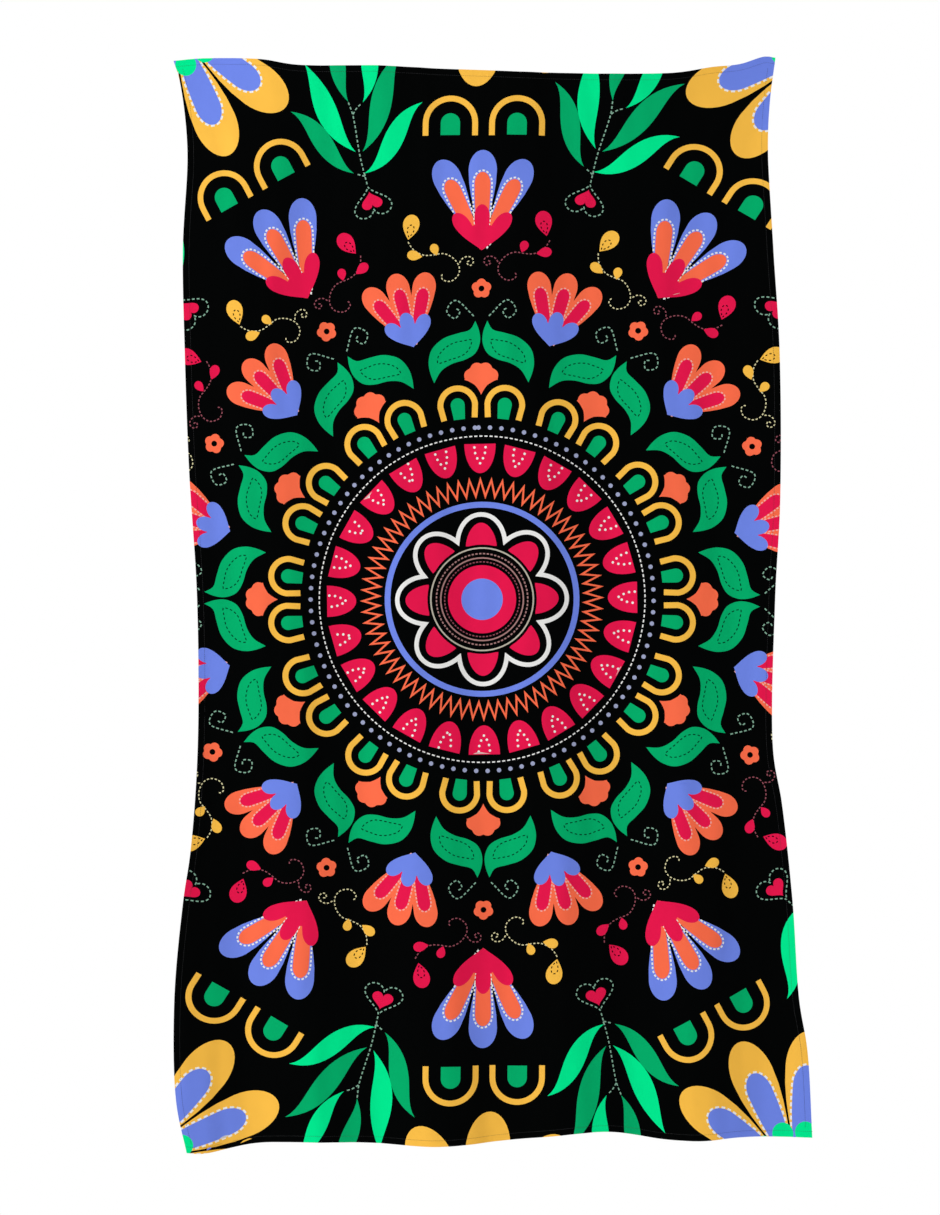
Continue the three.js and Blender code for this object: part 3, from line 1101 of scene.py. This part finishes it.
class TAPESTRY_OT_hems(bpy.types.Operator):
    """Make the turned hems, on whose back the print comes round from the front"""

    bl_idname = "tapestry.hems"
    bl_label = "Hems"

    def execute(self, context):
        beyond = 20
        low, high = cloth_window()
        shapes = draw_print((low - beyond, high + beyond))
        material = printed_material("print_face", False)
        for name in HEMS:
            side = name.split("_")[-1]
            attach(self.hem(name, side, shapes, material), "cloth")
        return {"FINISHED"}

    def hem(self, name, side, shapes, material):
        """One hem. The shapes are folded over with it, so that the print runs on round the edge."""
        values = settings().hems
        width, half = values.width / MM, values.thickness / MM / 2
        outer, inner = side_line(side, 0), side_line(side, width)
        rim = np.vstack([outer, inner[::-1]])
        if side in ("top", "left"):
            rim = rim[::-1]
        low, high = rim.min(axis=0), rim.max(axis=0)
        folded = [(ink, folded_over(side, outline), fine) for ink, outline, fine in shapes if not fine]
        folded = [s for s in folded if (s[1].max(axis=0) > low).all() and (s[1].min(axis=0) < high).all()]
        insets = (HEM_ROUNDING, width / 2, width - HEM_ROUNDING)
        rows = np.vstack([side_line(side, inset)[1:-1:2] for inset in insets])
        plan, faces, tops = triangulate(rim, rows, folded)
        loop = rim_loop(faces)
        inset = edge_distance(plan[:, 0], plan[:, 1])
        turn_out = 1 - np.clip(inset / HEM_ROUNDING, 0, 1)
        turn_in = 1 - np.clip((width - inset) / HEM_ROUNDING, 0, 1)
        swell = half * np.sqrt(np.clip(1 - turn_out**2 - turn_in**2, 0.02, 1))
        middle = HEM_MIDDLE - HEM_LIFT * turn_out
        vertices = np.vstack([surface(plan, middle + swell), surface(plan, middle - swell)])
        rim_faces = zipped(loop, plan, loop, plan, len(plan))
        triangles = np.vstack([faces[:, ::-1], faces + len(plan), np.array(rim_faces)[:, ::-1]])
        hem = add_mesh(name, vertices, triangles, material)
        face_colours = ink_colours(folded, tops)
        rim_colours = np.tile(opaque(settings().inks.black), (len(rim_faces), 1))
        colour_corners(hem, np.vstack([face_colours, face_colours, rim_colours]))
        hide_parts(f"hem_{side}")
        return hem


def beaded(graph, given):
    """Short stitches, thick in the middle, one after another along lines."""
    line = graph.node("GeometryNodeMeshToCurve", inputs={0: given})
    spacing = {0: line, "Length": given.output("Pitch")}
    places = graph.node("GeometryNodeCurveToPoints", {"mode": "LENGTH"}, spacing)
    bead = graph.node("GeometryNodeMeshUVSphere", inputs={"Segments": 6, "Rings": 4, "Radius": 0.5})
    width, along = given.output("Width"), given.output("Length")
    size = graph.node("ShaderNodeCombineXYZ", inputs={0: width, 1: width, 2: along})
    stitch = {"Points": places, "Instance": bead, "Rotation": places.output("Rotation"), "Scale": size}
    return tilted(graph, graph.node("GeometryNodeInstanceOnPoints", inputs=stitch), 0.07)


class TAPESTRY_OT_seams(bpy.types.Operator):
    """Sew the hems: a row of stitches on the front and one on the back of each side"""

    bl_idname = "tapestry.seams"
    bl_label = "Seams"

    def execute(self, context):
        values = settings().hems
        inputs = {"Pitch": "Float", "Length": "Float", "Width": "Float"}
        tree = node_tree("stitches", inputs, beaded)
        sizes = {
            "Pitch": values.stitch_pitch,
            "Length": values.stitch_length,
            "Width": values.stitch_width,
            "Material": thread_material("sewing_thread", values.thread, 0.5),
        }
        proud = 0.1
        behind = {"front": -proud, "back": HEM_MIDDLE + values.thickness / MM / 2 + proud}
        for name in SEAMS:
            _, side, face = name.split("_")
            line = side_line(side, values.seam_inset / MM)
            line = at_distances(line, np.arange(1, travel(line)[-1], values.stitch_pitch / MM))
            path = surface(line, behind[face]) / MM
            seam = grown(name, [path], [np.ones(len(path))], tree, sizes)
            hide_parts(f"seam_{side}_{'needle' if face == 'front' else 'bobbin'}_thread")
            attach(seam, "cloth")
        return {"FINISHED"}


# ---------------------------------------------------------------------------------------------
# Loops and tacks
# ---------------------------------------------------------------------------------------------

# The cord's make-up in millimetres.
STRANDS_EACH_WAY = 4
CORE_RADIUS = 0.75
BRAID_RADIUS = 0.9
BRAID_WAVE = 0.18
MELTED_END = 1.2
MELTED_RADIUS = 0.5


def swept(graph, lines):
    """Round threads along lines. Their radius is the attribute thread_radius of the lines."""
    curves = graph.node("GeometryNodeMeshToCurve", inputs={0: lines})
    section = graph.node("GeometryNodeCurvePrimitiveCircle", inputs={"Resolution": 7, "Radius": 1.0})
    radius = graph.node("GeometryNodeInputNamedAttribute", {"data_type": "FLOAT"}, {"Name": "thread_radius"})
    sweep = {"Curve": curves, "Profile Curve": section, "Scale": radius, "Fill Caps": True}
    return graph.node("GeometryNodeCurveToMesh", inputs=sweep)


def loop_route(node, spacing):
    """Centre line of a cord loop, its outward side and the distance along it, in millimetres."""
    low, high = (np.array(corner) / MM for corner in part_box(node))
    width, depth = high[0] - low[0], high[1] - low[1]
    radius = (width - depth) / 2
    arch_z = high[2] - width / 2
    leg = arch_z - low[2]
    whole = 2 * leg + math.pi * radius
    gone = np.linspace(0, whole, round(whole / spacing))
    turn = np.clip(gone - leg, 0, math.pi * radius) / radius
    below = np.maximum(np.maximum(leg - gone, gone - leg - math.pi * radius), 0)
    side = np.column_stack([-np.cos(turn), 0 * turn, np.sin(turn)])
    centre = np.array([(low[0] + high[0]) / 2, (low[1] + high[1]) / 2, arch_z])
    return centre + side * radius - below[:, None] * [0, 0, 1], side, gone


class TAPESTRY_OT_loops(bpy.types.Operator):
    """Braid the two cord loops that hang on the nails"""

    bl_idname = "tapestry.loops"
    bl_label = "Cord loops"

    def execute(self, context):
        values = settings().loops
        tree = node_tree("braid", {}, swept)
        sizes = {"Material": thread_material("braided_cord", values.cord, 0.7)}
        for name in LOOPS:
            node = name.replace("cord", "hanging")
            loop = grown(name, *self.strands(node, values), tree, sizes)
            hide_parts(node)
            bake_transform(loop)
        return {"FINISHED"}

    def strands(self, node, values):
        """A core with some strands each way round it, which pass over and under each other. All of
        them gather at the melted ends of the cord."""
        pitch, strand = values.braid_pitch / MM, values.strand_width / MM / 2
        route, side, gone = loop_route(node, pitch / 16)
        to_end = np.minimum(gone, gone[-1] - gone)
        gather = np.sqrt(np.clip(to_end / MELTED_END, 0, 1))
        lines = [route]
        radii = [np.where(to_end < MELTED_END, MELTED_RADIUS, CORE_RADIUS)]
        turns = 2 * math.pi * gone / pitch
        for way in (1, -1):
            reach = (BRAID_RADIUS + BRAID_WAVE * way * np.cos(STRANDS_EACH_WAY * turns)) * gather
            for n in range(STRANDS_EACH_WAY):
                angle = way * turns + n * 2 * math.pi / STRANDS_EACH_WAY
                out, back = reach * np.cos(angle), reach * np.sin(angle)
                lines.append(route + side * out[:, None] + back[:, None] * [0, 1, 0])
                radii.append(np.full(len(gone), strand))
        return lines, radii


def banded(graph, given):
    """Threads laid one below another, each a little out of line."""
    below = graph.node("ShaderNodeCombineXYZ", inputs={2: -1.0 * given.output("Pitch")})
    column = {"Count": given.output("Count"), "Start Location": given.output("Start"), "Offset": below}
    places = graph.node("GeometryNodeMeshLine", inputs=column)
    band = {"Points": places, "Instance": swept(graph, given)}
    return tilted(graph, graph.node("GeometryNodeInstanceOnPoints", inputs=band), 0.012)


def tack_thread(reach, back):
    """One thread of a bar tack, from end to end: out of the cloth, along its back, up beside the
    legs of the loop and over them. reach is half its width, and back is where the cloth's back
    lies. Its points are (across to the right, toward the wall)."""
    side = [(reach, back - 0.5), (reach - 0.4, back), (reach - 2.2, back), (reach - 3.2, back + 0.6),
            (reach - 3.35, back + 1.6), (reach - 3.35, -1.8), (reach - 3.6, -1.0), (reach - 4.6, -0.7)]
    profile = curve_through(side + [(-x, y) for x, y in reversed(side)], 0.6)
    return np.column_stack([profile, np.zeros(len(profile))])


class TAPESTRY_OT_tacks(bpy.types.Operator):
    """Sew the legs of each loop down with a band of close stitches"""

    bl_idname = "tapestry.tacks"
    bl_label = "Bar tacks"

    def execute(self, context):
        values = settings().loops
        tree = node_tree("tack", {"Count": "Int", "Start": "Vector", "Pitch": "Float"}, banded)
        radius = values.tack_thread / 2
        cloth_back = (settings().cloth.thickness - CORNER_DEPTH * MM + radius) / MM
        for side in ("left", "right"):
            low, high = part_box(f"loop_tack_{side}")
            middle = (low.x + high.x) / 2
            line = tack_thread((high.x - middle) / MM, cloth_back)
            sizes = {
                "Count": int((high.z - low.z - values.tack_thread) / values.tack_pitch) + 1,
                "Start": (middle, 0, high.z - radius),
                "Pitch": values.tack_pitch,
                "Material": bpy.data.materials["sewing_thread"],
            }
            tack = grown(f"bar_tack_{side}", [line], [np.full(len(line), radius / MM)], tree, sizes)
            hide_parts(f"loop_tack_{side}")
            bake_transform(tack)
        return {"FINISHED"}


# ---------------------------------------------------------------------------------------------
# Printed panel
# ---------------------------------------------------------------------------------------------


class TAPESTRY_OT_cloth(bpy.types.Operator):
    """Make the printed panel as one closed sheet"""

    bl_idname = "tapestry.cloth"
    bl_label = "Printed cloth"

    def execute(self, context):
        values = settings().cloth
        rim = np.vstack([BOTTOM[:-1], RIGHT[:-1], TOP[::-1][:-1], LEFT[::-1][:-1]])
        shapes = draw_print(cloth_window())
        grid = inner_grid(values.grid / MM)
        plan, faces, tops = triangulate(rim, grid, shapes)
        loop = rim_loop(faces)
        ghost = [s for s in shapes if not s[2]]
        back_plan, back_faces, back_tops = triangulate(plan[loop], grid, ghost)
        back_loop = rim_loop(back_faces)
        start = np.argmin(np.linalg.norm(back_plan[back_loop] - plan[loop[0]], axis=1))
        back_loop = back_loop[start:] + back_loop[:start]
        first = len(plan)
        vertices = np.vstack([surface(plan, 0), surface(back_plan, values.thickness / MM)])
        normals = np.vstack([surface_normals(plan), -surface_normals(back_plan)])
        rim_faces = zipped(loop, plan, back_loop, back_plan, first)
        triangles = np.vstack([faces, back_faces[:, ::-1] + first, rim_faces])
        cloth = add_mesh("printed_cloth", vertices, triangles, bpy.data.materials["print_face"], normals)
        cloth.data.materials.append(printed_material("print_reverse", True))
        sides = np.zeros(len(triangles), np.int32)
        sides[len(faces) : len(faces) + len(back_faces)] = 1
        cloth.data.polygons.foreach_set("material_index", sides)
        rim_colours = np.tile(opaque(settings().inks.black), (len(rim_faces), 1))
        face_colours, back_colours = ink_colours(shapes, tops), ink_colours(ghost, back_tops)
        colour_corners(cloth, np.vstack([face_colours, back_colours, rim_colours]))
        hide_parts("printed_panel")
        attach(cloth, "cloth")
        return {"FINISHED"}


# ---------------------------------------------------------------------------------------------
# Panel and registration
# ---------------------------------------------------------------------------------------------

STEPS = (
    TAPESTRY_OT_stage,
    TAPESTRY_OT_hems,
    TAPESTRY_OT_seams,
    TAPESTRY_OT_loops,
    TAPESTRY_OT_tacks,
    TAPESTRY_OT_cloth,
)


class TAPESTRY_PT_panel(bpy.types.Panel):
    """Buttons that build the hanging, in order"""

    bl_idname = "TAPESTRY_PT_panel"
    bl_label = "Tapestry"
    bl_space_type = "VIEW_3D"
    bl_region_type = "UI"
    bl_category = "Tapestry"

    def draw(self, context):
        for step in STEPS:
            self.layout.operator(step.bl_idname)


CLASSES = (
    InkSettings,
    ClothSettings,
    HemSettings,
    LoopSettings,
    StageSettings,
    TapestrySettings,
    *STEPS,
    TAPESTRY_PT_panel,
)


def register():
    for item in CLASSES:
        bpy.utils.register_class(item)
    bpy.types.Scene.tapestry = bpy.props.PointerProperty(type=TapestrySettings)


def unregister():
    del bpy.types.Scene.tapestry
    for item in reversed(CLASSES):
        bpy.utils.unregister_class(item)


def main():
    """Builds the hanging from the default settings."""
    register()
    bpy.ops.tapestry.stage()
    bpy.ops.tapestry.hems()
    bpy.ops.tapestry.seams()
    bpy.ops.tapestry.loops()
    bpy.ops.tapestry.tacks()
    bpy.ops.tapestry.cloth()


if __name__ == "__main__":
    main()
